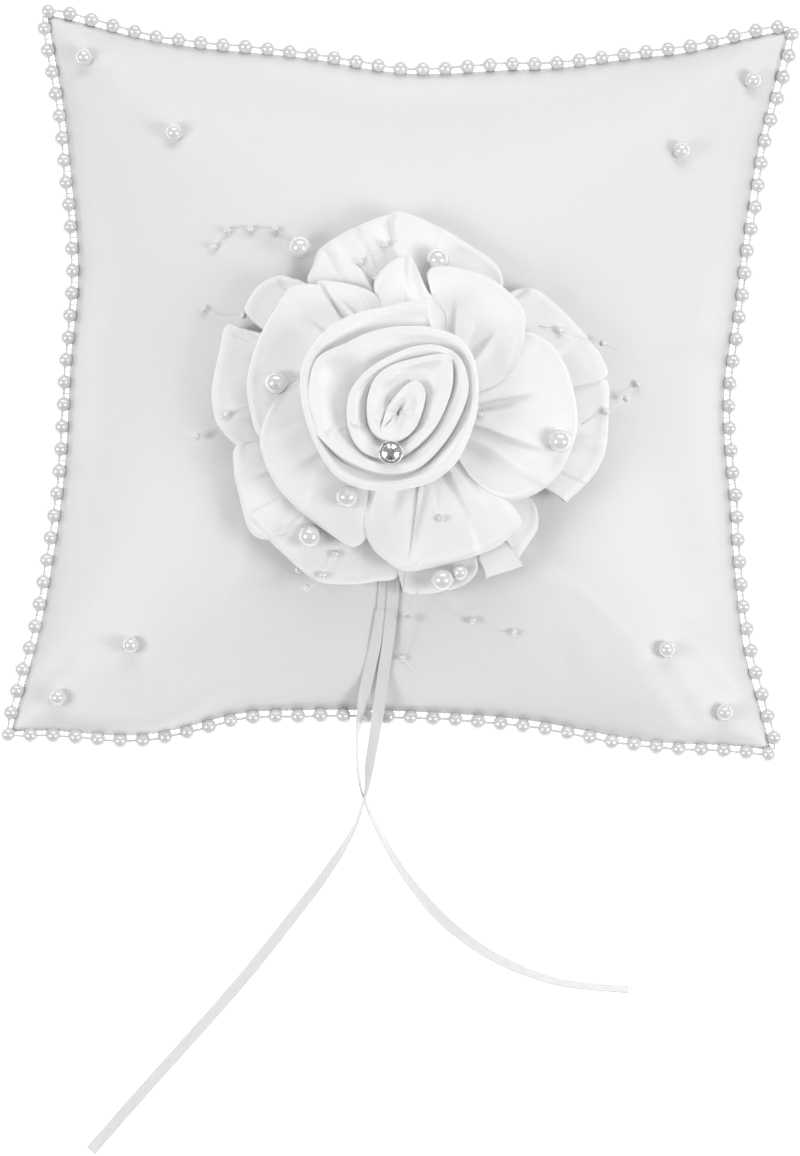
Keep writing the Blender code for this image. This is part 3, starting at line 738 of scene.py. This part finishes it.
# Each petal: foot from and to (degrees), tilt of one side over the next, pleats (place across the
# petal, share of its length, turn, height; a negative share runs in from the rim), and its rim.
LOWER_PETALS = [
    (44, 132, 0.4, [(0.02, 0.71, 1, 2.4), (0.3, 0.77, -1, 2.4), (-0.2, 0.8, 1, 1), (0.02, -0.55, 1, 2.6),
     (0.22, -0.5, -1, 2.2), (0.33, -0.5, 1, 1.6), (-0.2, -0.6, 1, 1)],
     [(22, 16.2), (26, 23.5), (25.3, 27.7), (22.5, 30.9), (17, 34.3), (9.8, 38.3), (1.5, 41.7),
     (-3.2, 42.1), (-8.8, 39.9), (-13.6, 37.5), (-18.5, 34.5), (-22.7, 31.5), (-24.1, 27.3), (-25.5, 22.6),
     (-22.1, 16)]),
    (130, 158, -1, [(-0.12, 0.77, 1, 1.8), (-0.17, -0.35, 1, 2)],
     [(-22.1, 17.4), (-25.8, 22.1), (-29.5, 23.5), (-33, 24.1), (-36.5, 22.8), (-39.3, 20.3),
     (-40.9, 17.4), (-41.5, 14.4), (-36.7, 9.7), (-29.5, 7.1)]),
    (156, 206, 1.6, [(-0.07, 0.89, -1, 1.6), (0.15, 0.8, 1, 1.2), (-0.28, -0.5, 1, 1.4),
     (0.2, -0.6, -1, 1)],
     [(-29.6, 8.5), (-36.7, 8.8), (-42.4, 10), (-46.4, 10.7), (-47.8, 4.2), (-49.1, -3), (-49.4, -9),
     (-47.9, -15.1), (-45.6, -18.2), (-42.5, -20.9), (-35.4, -24.9), (-28.3, -25.7)]),
    (200, 232, -1.2, [(-0.15, 0.86, 1, 1.4), (-0.2, -0.6, -1, 1.2)],
     [(-30.6, -20.1), (-37.7, -20.4), (-42.7, -21.4), (-42.8, -27.7), (-41.3, -33.7), (-37.5, -44),
     (-29.7, -45.1), (-21.3, -39.8)]),
    (222, 266, 1.8, [(-0.15, 0.86, -1, 1.8), (0.17, 0.83, 1, 1.4), (-0.13, -0.55, -1, 1.2),
     (0.25, -0.6, 1, 1.2)],
     [(-23, -32.7), (-28.6, -35.2), (-37, -38.2), (-37.8, -40.5), (-37.8, -40.5), (-34, -44.5),
     (-30.3, -48), (-24.4, -52.9), (-19.3, -56), (-10.8, -56.2), (-4.4, -55.1), (1.6, -53.5), (2.3, -46)]),
    (262, 296, -0.8, [(-0.03, 0.83, 1, 1.2)],
     [(0.2, -44.6), (1.6, -53.2), (2.9, -57.4), (2.9, -57.4), (5.8, -58), (13.4, -57.1), (20.4, -54),
     (21.6, -46.7)]),
    (290, 330, 1.6, [(0.05, 0.83, -1, 1.8), (0.02, -0.5, 1, 1.4)],
     [(18.6, -43.2), (22.4, -48.8), (24.7, -53.3), (24.7, -53.3), (28.2, -52), (34.1, -49.9),
     (34.1, -49.9), (33, -48), (35.3, -44), (37.8, -38.9), (36.1, -32.5), (28.7, -28.5)]),
    (318, 372, 1.6, [(-0.1, 0.92, 1, 2), (0.1, 0.8, -1, 1.2), (0, -0.55, 1, 1.4)],
     [(32.2, -26.3), (40.1, -29.9), (45, -32.5), (45, -32.5), (50.1, -27.4), (50.1, -27.4), (53.3, -22.6),
     (55, -16.8), (55.2, -8.2), (54.8, -0.4), (51, 1.3), (44.7, -0.4), (32.7, -2.7)]),
    (366, 412, 1.6, [(0.32, 0.83, 1, 1.8), (-0.03, 0.77, -1, 1.2), (0.37, -0.5, 1, 1.6),
     (0, -0.6, -1, 1.2)],
     [(34.1, -3.3), (46.9, -2.1), (54.2, 1), (53, 6), (48.6, 11.5), (41.8, 18.4), (34.5, 23.3),
     (28.2, 22.2), (23.4, 16.3)]),
]
lower = gathered_ruffle("lower_ruffle_satin", LOWER_PETALS, 2.2, 4.2)
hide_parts("lower_ruffle")

UPPER_PETALS = [
    (62, 112, 2, [(-0.37, 0.92, 1, 1.6), (0.12, 0.68, -1, 1.2), (-0.02, -0.5, 1, 1)],
     [(11.8, 11.7), (10.6, 16.6), (6.5, 20.4), (3.1, 27.1), (0.8, 30), (-4, 27.5), (-7.3, 23.8),
     (-7.9, 20.6), (-6.6, 17), (-4.2, 13.9)]),
    (104, 134, -1, [(-0.28, 0.92, 1, 1.4), (0.07, 0.77, -1, 1.2)],
     [(-3.5, 13.2), (-4.9, 15.7), (-8, 19.5), (-13.8, 21.5), (-20.2, 22.4), (-22.7, 21.8), (-20, 16.2),
     (-15.5, 10.6)]),
    (128, 186, 2.6, [(-0.23, 0.89, -1, 1.2), (0.08, 0.53, 1, 2), (0.33, 0.71, 1, 1),
     (-0.23, -0.6, 1, 0.9)],
     [(-15.1, 10.3), (-18.5, 15.5), (-22.1, 21.2), (-22.1, 21.2), (-29, 20.7), (-32.7, 15.7), (-37, 7.6),
     (-39.5, -0.3), (-40.1, -6.8), (-38.9, -13.2), (-36.2, -19.5), (-30.7, -18.6), (-22.3, -14.7)]),
    (168, 252, 2.6, [(-0.27, 0.8, -1, 1.8), (0.08, 0.71, -1, 1.2), (-0.1, 0.74, 1, 0.9),
     (0.13, -0.65, -1, 0.9)],
     [(-18.5, -2.4), (-25.6, -3.9), (-31.1, -8), (-34.9, -14.4), (-36.2, -20.9), (-34.3, -26.9),
     (-30.7, -32.9), (-25, -38.4), (-16.9, -44.1), (-10, -47.2), (-5, -41.2), (-2.4, -33.2), (-0.5, -27.4)]),
    (246, 286, 2.6, [(-0.18, 0.59, 1, 2.2), (0.2, 0.38, -1, 1.4)],
     [(-5.4, -29), (-6.7, -33.4), (-8.2, -41.6), (-5.4, -47.6), (-1, -51.2), (4, -53), (9.2, -47.8),
     (12.4, -37.6), (13.5, -29)]),
    (272, 322, 2.6, [(-0.15, 0.62, 1, 1), (0.17, 0.62, -1, 1.6), (0.25, 0.62, 1, 1.4),
     (0.07, -0.65, 1, 0.9)],
     [(8.3, -27.1), (7.5, -33.5), (5.7, -40.7), (4.5, -47.9), (4, -52.8), (9.7, -51.9), (15.3, -50.4),
     (21.6, -48.3), (27.2, -45.6), (30.6, -42.5), (33.3, -39), (28.8, -32.7), (20.1, -26.6)]),
    (310, 384, 2.6, [(-0.38, 0.71, 1, 2.4), (-0.15, 0.8, -1, 1.6), (0.05, 0.62, 1, 1.2),
     (0.23, 0.68, -1, 1.6), (0.42, 0.62, 1, 1), (0.13, -0.7, 1, 0.8), (-0.35, -0.7, -1, 0.8)],
     [(15.3, -22.5), (17.5, -25.6), (20.9, -29.6), (27.4, -33.3), (33.8, -32.9), (39.5, -29.6),
     (42.8, -25.7), (44.9, -21.7), (46.9, -14.1), (46.1, -5.6), (43.1, 2.9), (38.6, 8.8), (32.1, 11),
     (25.2, 5.8), (18.4, -1.7)]),
    (4, 66, 2.6, [(-0.25, 0.56, 1, 2), (0.08, 0.56, -1, 1.2), (0.2, 0.62, 1, 1.4), (-0.23, -0.7, -1, 0.8)],
     [(17.5, -6.1), (21, -5.6), (25.2, -4.1), (29, -0.2), (31.6, 6), (32.3, 11.7), (31.2, 17.4),
     (25.6, 22.9), (19.5, 25.9), (12.3, 27.4), (7.7, 27.2), (5.9, 24.7), (8.3, 20.5), (10.7, 16.6),
     (12.6, 11)]),
]
upper = gathered_ruffle("upper_ruffle_satin", UPPER_PETALS, 8.2, 4.6)
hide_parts("upper_ruffle")

# Bud: a strip of satin folded lengthwise and rolled from a tight cone outwards, each turn opening
# wider than the last, with its raw edges stitched together underneath.
BUD_AT = Vector((-0.1, -13.4, 0.0))
BUD_TOP = 86.0
BUD_WALL = 0.75
# A small pinched tuck in the roll: middle, and half sizes.
TUCK = (-12.1, -20.6, 5.6, 3.4)
# The folded rim from its outer end inwards: place, and drop below the bud's top.
BUD_RIM = [
    (7.8, 9.2, 7), (7.3, 11.9, 6.2), (6.3, 15.8, 5), (1.3, 15.1, 4.7), (-3.6, 13.8, 4.5),
    (-10.6, 12, 4.2), (-15.5, 9.8, 4.2), (-19, 7.2, 4.2), (-23, 2.2, 4.2), (-25.1, -3.6, 4.2),
    (-25, -9.3, 4.2), (-23.7, -15, 4.2), (-20.7, -22.4, 4.2), (-16.2, -29, 4.1), (-11.8, -31.8, 4),
    (-6.1, -33.2, 3.8), (1.7, -32.7, 3.7), (8.8, -30.5, 3.6), (14.3, -26, 3.4), (17.6, -19.5, 3.3),
    (19.5, -12.6, 3.1), (19.7, -6.2, 3), (18.4, 0.9, 2.8), (14.6, 6, 2.7), (8, 8.2, 2.6), (2.3, 8.3, 2.5),
    (-3.4, 7.7, 2.4), (-9, 5.9, 2.3), (-13.8, 3.4, 2.2), (-20.7, 0.1, 4), (-22.8, -5.3, 4.1),
    (-22.9, -12.5, 4.1), (-21.1, -18.6, 4.2), (-17.7, -22.5, 2.6), (-12, -26.5, 2.4), (-3.4, -29.1, 2.2),
    (5.1, -27.3, 2), (11.9, -20, 1.8), (16.4, -10.9, 1.6), (17, -4.8, 1.4), (14.7, 0.8, 1.3),
    (9.6, 3.4, 1.1), (3.9, 3.1, 1), (-1.7, 0.7, 0.8), (-7.2, -2.9, 1), (-11.3, -7.4, 1.2),
    (-12.8, -12.4, 1.4), (-11.9, -18.8, 1.6), (-8.5, -23.7, 1.8), (-2.8, -25.3, 1.5), (2.8, -23.3, 1.2),
    (9, -16.7, 1), (12.7, -8, 0.7), (12.9, -1.1, 0.4), (11, 1.2, 0.4), (4.8, 0, 0.3), (-1.6, -2.1, 0.3),
    (-6, -5.7, 0.2), (-7.6, -11.5, 0.2), (-6.6, -17.9, 0.2), (-3, -20.6, 0.1), (0.9, -20.1, 0.1),
    (4, -16.8, 0.1), (6, -10.3, 0), (5.6, -7.6, 0), (3.6, -6.1, 0.2), (0.8, -8, 0.4), (-2.5, -13.5, 0.6),
    (-4.3, -18.5, 0.8)
]
bud_floor = front_height(ROSE_X, ROSE_Y) + 6.0
bud_line = smooth_route(BUD_RIM, 900)
bud_turn = [math.atan2(bud_line[0].y - BUD_AT.y, bud_line[0].x - BUD_AT.x)]
for point in bud_line[1:]:
    step = math.atan2(point.y - BUD_AT.y, point.x - BUD_AT.x) - bud_turn[-1]
    bud_turn.append(bud_turn[-1] + (step + math.pi) % (2.0 * math.pi) - math.pi)


def bud_reach(turn):
    """How far the rim lies from the bud's centre, and its drop, at a turn counted from the outer end."""
    if turn <= bud_turn[0]:
        return None
    if turn >= bud_turn[-1]:
        return -0.65, 1.5
    low, high = 0, len(bud_turn) - 1
    while high - low > 1:
        middle = (low + high) // 2
        if bud_turn[middle] <= turn:
            low = middle
        else:
            high = middle
    point = bud_line[low]
    return math.hypot(point.x - BUD_AT.x, point.y - BUD_AT.y), point.z


def bud_fall(gap):
    """How deep the valley between two turns goes, for the width between their rims."""
    return min(2.4 + 0.2 * gap, 0.3 + 1.4 * max(gap - 1.6, 0.0))


def bud_place(u, v):
    """Where the rolled strip's grid position falls: u along it, v across from edge to edge."""
    leg, part, spot = along_line(bud_line, u)
    turn = bud_turn[leg] + (bud_turn[leg + 1] - bud_turn[leg]) * part
    share = 1.0 - abs(v)
    up = 1.0 - (1.0 - share) ** 1.6
    reach = math.hypot(spot.x - BUD_AT.x, spot.y - BUD_AT.y)
    inner = bud_reach(turn + 2.0 * math.pi)
    outer = bud_reach(turn - 2.0 * math.pi)
    rim = BUD_TOP - spot.z + 0.35 * math.sin(2.6 * turn) + 0.2 * math.sin(6.1 * turn)
    tip = 1.0 - smooth_step(0.0, 0.025, (u + 1.0) / 2.0) * 0.999
    roll = math.sqrt(max(1.0 - (max(up - 0.93, 0.0) / 0.07) ** 2, 0.0))
    puff = BUD_WALL * (0.75 + 0.35 * math.exp(-((up - 0.94) / 0.06) ** 2)) * roll * (1.0 - 0.6 * tip)
    if v < 0.0:
        if outer is None:
            lean = 4.2 * math.sin(math.pi / 2.0 * (1.0 - up)) ** 1.3 - 1.6 * math.sin(math.pi * up)
            radius = reach + puff - lean
            height = rim - (rim - bud_floor) * (1.0 - up) ** 0.9
        else:
            valley = BUD_TOP - outer[1] - bud_fall(outer[0] - reach)
            radius = reach + puff + 0.5 * (1.0 - up)
            height = valley - 0.8 + (rim - valley + 0.8) * math.sin(math.pi / 2.0 * up)
    else:
        gap = max(reach - inner[0], 0.6)
        fall = bud_fall(gap)
        soft = 0.30 * math.sin(2.3 * turn + 4.0 * up) + 0.18 * math.sin(5.2 * turn - 7.0 * up)
        radius = inner[0] + 0.7 + max(gap - 0.7, 0.2) * up - puff * up
        height = rim - fall * (1.0 - math.sin(math.pi / 2.0 * up) ** 0.85)
        height += soft * math.sin(math.pi * up) * gap / 6.0
    x = BUD_AT.x + radius * math.cos(turn)
    y = BUD_AT.y + radius * math.sin(turn)
    if v > 0.0 and turn - bud_turn[0] > 2.0 * math.pi:
        behind = (y - TUCK[1]) / TUCK[3]
        from_tuck = math.hypot((x - TUCK[0]) / TUCK[2], behind)
        height += 0.8 * math.exp(-((from_tuck - 1.0) / 0.16) ** 2) * smooth_step(-0.3, 0.4, behind)
        height -= 0.7 * math.exp(-(from_tuck / 0.6) ** 2)
    return x, y, height


bud = shaped_grid("rolled_bud", 900, 40, bud_place)
folded_satin(bud)
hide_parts("bud_outer_wrap", "bud_middle_wrap", "bud_inner_wrap", "bud_core")

# Flower pearls: larger pearls held on the petals by the filament that comes up through them.
rose_cloth = [cover, lower, upper, bud]
# Sideways lean of each pearl on its filament, in millimetres.
LEAN = {"back_left": (0.0, -0.9), "back_right": (0.0, -1.1), "left": (0.2, -2.3), "right": (0.2, -2.1),
        "front_left_inner": (0.9, 2.6), "front_left_outer": (0.8, -0.8), "front_middle": (0.3, -1.3),
        "front_small": (-1.0, -0.9)}
for node in sorted(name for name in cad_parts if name.startswith("flower_pearl_")):
    middle, radius = pearl_home(node)
    middle += Vector((*LEAN[node.replace("flower_pearl_", "")], 0.0))
    master = drilled_pearl("pearl_master", radius, 32, 22)
    sewn_pearl(node, node.replace("flower_", "rose_"), middle, radius, rose_cloth, master,
               (math.sin(middle.x * 2.0), math.cos(middle.y), 0.15))
    bpy.data.objects.remove(master)

# Bead sprays: clear nylon filament that springs out from under the petals, with small pearly
# seed beads threaded on it and held by a dab of glue.
SEED_BEAD = 2.0
FILAMENT = 0.22
SPRAYS = {
    "back_left": [(-29, 34, 0), (-34.5, 37.3, 1), (-41, 37.4, 1), (-47, 37, 1), (-50.5, 32.7, 1)],
    "left_upper": [(-36, 12.4, 0), (-42, 13.8, 1), (-48, 14, 0), (-52.5, 15.8, 1)],
    "left_lower": [(-38, -10, 0), (-45, -13.1, 1), (-53, -18.5, 1), (-57, -19.3, 0)],
    "front_left": [(-23, -46, 0), (-24.9, -52.6, 1), (-22.6, -57.6, 1), (-18.4, -54.4, 1), (-15.2, -48.8, 1)],
    "front_right": [(13.4, -55.6, 0), (16.6, -61.2, 0), (21.6, -63.5, 1), (27.5, -65.8, 0), (32.5, -66, 1),
                    (34.4, -65.2, 0)],
    "front_middle": [(7, -57, 0), (4.4, -64, 1), (4.2, -70, 0), (3.4, -73.4, 1), (6.2, -76.4, 0)],
    "right_upper": [(36, 13.4, 0), (41.3, 12.4, 1), (47, 10.6, 0), (53, 10.4, 1), (57.3, 9.3, 0)],
    "right_lower": [(48, -12, 0), (54.4, -8.3, 1), (59.8, -3.8, 1), (62.7, 0.7, 1)],
    "back_middle": [(-2, 34, 0), (-5.4, 32.8, 1), (-11.7, 27.8, 1), (-7.3, 23.8, 1)],
}

nylon, nylon_tree, nylon_shader = new_material("clear_nylon", (0.94, 0.94, 0.94), 0.2,
                                                Transmission_Weight=0.25, IOR=1.5)
nylon_at = add_node(nylon_tree, "ShaderNodeTexCoord", (-800, -100))
nylon_drawn = add_node(nylon_tree, "ShaderNodeTexNoise", (-600, -100), Vector=nylon_at.outputs["Object"],
                       Scale=700.0, Detail=2.0)
nylon_bump = add_node(nylon_tree, "ShaderNodeBump", (-300, -100), Height=nylon_drawn.outputs["Fac"],
                      Strength=0.15, Distance=0.00005)
set_inputs(nylon_shader, Normal=nylon_bump.outputs["Normal"])

seed_master = drilled_pearl("seed_master", SEED_BEAD / 2.0, 14, 10)
for name, places in SPRAYS.items():
    lifted = []
    for x, y, _ in places:
        under = ground_under(x, y, rose_cloth) or front_height(x, y)
        lifted.append(Vector((x, y, under + SEED_BEAD / 2.0 + 0.3)))
    for index in range(1, len(lifted) - 1):
        between = (lifted[index - 1].z + lifted[index + 1].z) / 2.0
        lifted[index].z = max(lifted[index].z, between - 1.0)
    lifted[0].z -= 1.2
    strand = tube("filament_" + name, smooth_route(lifted, 6 * len(lifted)), FILAMENT / 2.0, 6)
    dress(strand, nylon)
    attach(strand, "pillow")
    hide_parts("bead_spray_" + name)
    strung = []
    for index, (spot, place) in enumerate(zip(lifted, places)):
        if place[2]:
            along = lifted[min(index + 1, len(lifted) - 1)] - lifted[max(index - 1, 0)]
            strung.append(placed_copy(seed_master, "seed_%s_%d" % (name, index), spot, along.normalized()))
    seeds = joined("seed_beads_" + name, strung)
    finish_smooth(seeds)
    dress(seeds, nacre)
    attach(seeds, "pillow")

for node in ("seed_bead_right", "seed_bead_front"):
    sewn_pearl(node, node.replace("seed_bead", "petal_bead"), pearl_home(node)[0] - Vector((0.2, 1.4, 0.0)),
               SEED_BEAD / 2.0, rose_cloth, seed_master, (1.0, 0.3, 0.0))
bpy.data.objects.remove(seed_master)

# Crystal: a foil-backed cut stone in a small silver cup with a rolled rim, on the head of a pin
# that goes down between two turns of the bud.
STONE_SHIFT = -1.6
STONE_RADIUS = 2.6
STONE_CLEAR = 1.1
STONE = [(0.0, 1.5), (1.1, 1.5), (2.1, 1.08), (2.65, 0.55), (2.8, 0.1), (1.7, -0.9), (0.6, -1.8), (0.0, -1.9)]
CUP = [(0.0, -2.1), (1.2, -2.1), (2.6, -1.2), (3.1, 0.0), (3.2, 0.45), (3.05, 0.7), (2.8, 0.62),
       (2.75, 0.3), (2.85, -0.1), (2.2, -1.0), (0.9, -1.95), (0.0, -1.95)]


def turned_grid(name, profile, columns, twist=0.0):
    """A grid wound round the Z axis along a profile of radius and height, rows turned alternately."""
    rows = len(profile) - 1

    def place(u, v):
        index = round((v + 1.0) / 2.0 * rows)
        radius, height = profile[index]
        angle = math.pi * (u + 1.0) + (twist if index % 2 else 0.0)
        return radius * math.cos(angle), radius * math.sin(angle), height

    made = shaped_grid(name, columns, rows, place)
    merge_points(SEAM_GAP)
    return made


low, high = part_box("crystal")
stone_x = (low[0] + high[0]) / 2.0 / MM
stone_y = (low[1] + high[1]) / 2.0 / MM + STONE_SHIFT
rims = [ground_under(stone_x + STONE_RADIUS * math.cos(step * math.pi / 4.0),
                     stone_y + STONE_RADIUS * math.sin(step * math.pi / 4.0), [bud]) for step in range(8)]
stone_at = Vector((stone_x, stone_y, max(rim for rim in rims if rim is not None) + STONE_CLEAR)) * MM
stone = turned_grid("cut_stone", STONE, 16, math.pi / 16.0)
stone.data.transform(Matrix.Translation(stone_at))
foiled, foiled_tree, foiled_shader = new_material("foiled_stone", (0.86, 0.87, 0.89), 0.04, Metallic=0.9,
                                                  Coat_Weight=1.0, Coat_IOR=1.6)
facets_at = add_node(foiled_tree, "ShaderNodeTexCoord", (-900, 200))
facets = add_node(foiled_tree, "ShaderNodeTexVoronoi", (-700, 200), Vector=facets_at.outputs["Object"],
                  Scale=900.0)
# Painted facet reflections: the foil's colour steps between half and full brightness cell by cell, so some
# facets look dark and some bright, as if mirroring the dark room or a lamp. The same cells also tilt the
# facets by bump.
painted_facet_reflections = add_node(foiled_tree, "ShaderNodeMapRange", (-450, 200), Value=facets.outputs["Color"],
                   To_Min=0.5, To_Max=1.0)
tilted = add_node(foiled_tree, "ShaderNodeBump", (-450, -100), Height=facets.outputs["Color"],
                  Strength=0.5, Distance=0.0002)
set_inputs(foiled_shader, Base_Color=painted_facet_reflections.outputs["Result"], Normal=tilted.outputs["Normal"])
dress(stone, foiled)
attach(stone, "pillow")
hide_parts("crystal")

cup = turned_grid("stone_cup", CUP, 48)
cup.data.transform(Matrix.Translation(stone_at))
finish_smooth(cup)


def worn_metal(name, colour, roughness):
    """Plated metal with fine polishing marks."""
    made, tree, shader = new_material(name, colour, roughness, Metallic=1.0)
    place = add_node(tree, "ShaderNodeTexCoord", (-900, 0))
    marks = add_node(tree, "ShaderNodeTexNoise", (-700, 0), Vector=place.outputs["Object"],
                     Scale=2400.0, Detail=3.0)
    dull = add_node(tree, "ShaderNodeMapRange", (-450, 0), Value=marks.outputs["Fac"],
                    To_Min=roughness - 0.06, To_Max=roughness + 0.14)
    set_inputs(shader, Roughness=dull.outputs["Result"])
    return made


dress(cup, worn_metal("silver_plate", (0.84, 0.84, 0.86), 0.24))
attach(cup, "pillow")
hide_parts("crystal_cup")
dress(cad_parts["crystal_pin"], worn_metal("pin_wire", (0.60, 0.60, 0.62), 0.28))

# Ribbon: narrow white satin ribbon with a firm woven edge, folded double and sewn under the
# rose; its two free tails cross below the pillow, twisting on edge there, and end cut square.
RIBBON_WIDTH = 3.1
RIBBON_HALF = 0.14
RIB_DEPTH = 0.05
SELVEDGE_DEPTH = 0.06
FOLD_LINE = (-37.0, -43.0, -49.0, -55.0, -62.6)
TAIL_POINTS = 260
silk = woven("ribbon_silk", (0.76, 0.76, 0.765), 0.33, 5200.0, 0.5, 120.0, 0.06, 0.2)


def roll_at(rolls, y):
    """The ribbon's roll about its own line, in radians, between the listed (y, degrees) pairs."""
    for (high_y, first), (low_y, second) in zip(rolls, rolls[1:]):
        if high_y >= y >= low_y:
            return math.radians(first + (second - first) * smooth_step(high_y, low_y, y))
    return math.radians(rolls[0][1] if y > rolls[0][0] else rolls[-1][1])


def ribbon_strip(name, route, rolls):
    """A flat woven strip along a route, with lengthwise ribs and fuller edges."""
    last = len(route) - 1

    def place(u, v):
        leg, _, spot = along_line(route, u)
        ahead = (route[min(leg + 2, last)] - route[max(leg - 1, 0)]).normalized()
        level = ahead.cross(Vector((0.0, 0.0, 1.0))).normalized()
        roll = roll_at(rolls, spot.y)
        across = level * math.cos(roll) + level.cross(ahead) * math.sin(roll)
        face = across.cross(ahead)
        turn = math.pi * v
        offset = max(min(1.06 * math.sin(turn), 1.0), -1.0)
        edge = smooth_step(0.78, 0.95, abs(offset))
        rib = RIB_DEPTH * math.cos(3.0 * math.pi * offset) + SELVEDGE_DEPTH * edge
        height = (RIBBON_HALF + rib) * math.cos(turn) / max(abs(math.cos(turn)), 0.35)
        return spot + across * (offset * RIBBON_WIDTH / 2.0) + face * height
    made = shaped_grid(name, 4 * len(route) // 3, 36, place)
    merge_points(SEAM_GAP)
    finish_smooth(made)
    dress(made, silk)
    return made


def on_cover(x, y, above):
    """A ribbon place lying on the cover, this far above it."""
    return x, y, (ground_under(x, y, [cover]) or front_height(x, y)) + above


folded = []
for name, x, above in (("fold_under", -2.3, 0.5), ("fold_over", 0.1, 1.0)):
    strip = [on_cover(x + 0.4 * math.sin(0.1 * y), y, above) for y in FOLD_LINE]
    folded.append(ribbon_strip(name, smooth_route(strip, 40), [(0.0, 0.0), (-100.0, 0.0)]))
fold = joined("ribbon_fold_silk", folded)
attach(fold, "pillow")
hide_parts("ribbon_fold")

TAILS = {
    "left": ([on_cover(0.1, -62.2, 1.3), on_cover(-0.5, -69.4, 1.3), on_cover(-1.5, -78, 1.5),
              (-2.4, -87, 31), (-3.4, -94, 20), (-4.4, -101, 10.2), (-5.3, -108, 4.6),
              (-8.2, -117, 2.4), (-14.5, -128, 1.9), (-22.2, -139, 1.5), (-37.6, -159.7, 1.1),
              (-60.8, -187.9, 0.9), (-74.5, -204.8, 0.6)],
             [(-84, 0), (-98, -34), (-108, -78), (-112, -76), (-118, -64), (-126, -42),
              (-135, -26), (-150, -10), (-205, -8)]),
    "right": ([on_cover(-2.5, -61.6, 0.7), on_cover(-3.7, -69.4, 0.7), on_cover(-5.4, -78, 0.9),
               (-7, -87, 29.4), (-7.6, -94, 17.4), (-7.2, -101, 7.2), (-5.3, -108, 2.1),
               (-0.2, -118, 1.9), (6.9, -128.6, 1.6), (18, -140.4, 0.9), (31.7, -149.3, 0.7),
               (47.9, -154.9, 1.4), (67.2, -156.4, 1.7)],
              [(-80, 0), (-88, 55), (-95, 82), (-108, 76), (-116, 66), (-127, 46),
               (-140, 18), (-150, 34), (-155, 48), (-156.5, 52)]),
}
for side, (controls, rolls) in TAILS.items():
    route = smooth_route(controls, TAIL_POINTS)
    tail = ribbon_strip("ribbon_tail_%s_silk" % side, route, rolls)
    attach(tail, "ribbon_tails")
    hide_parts("ribbon_tail_" + side)
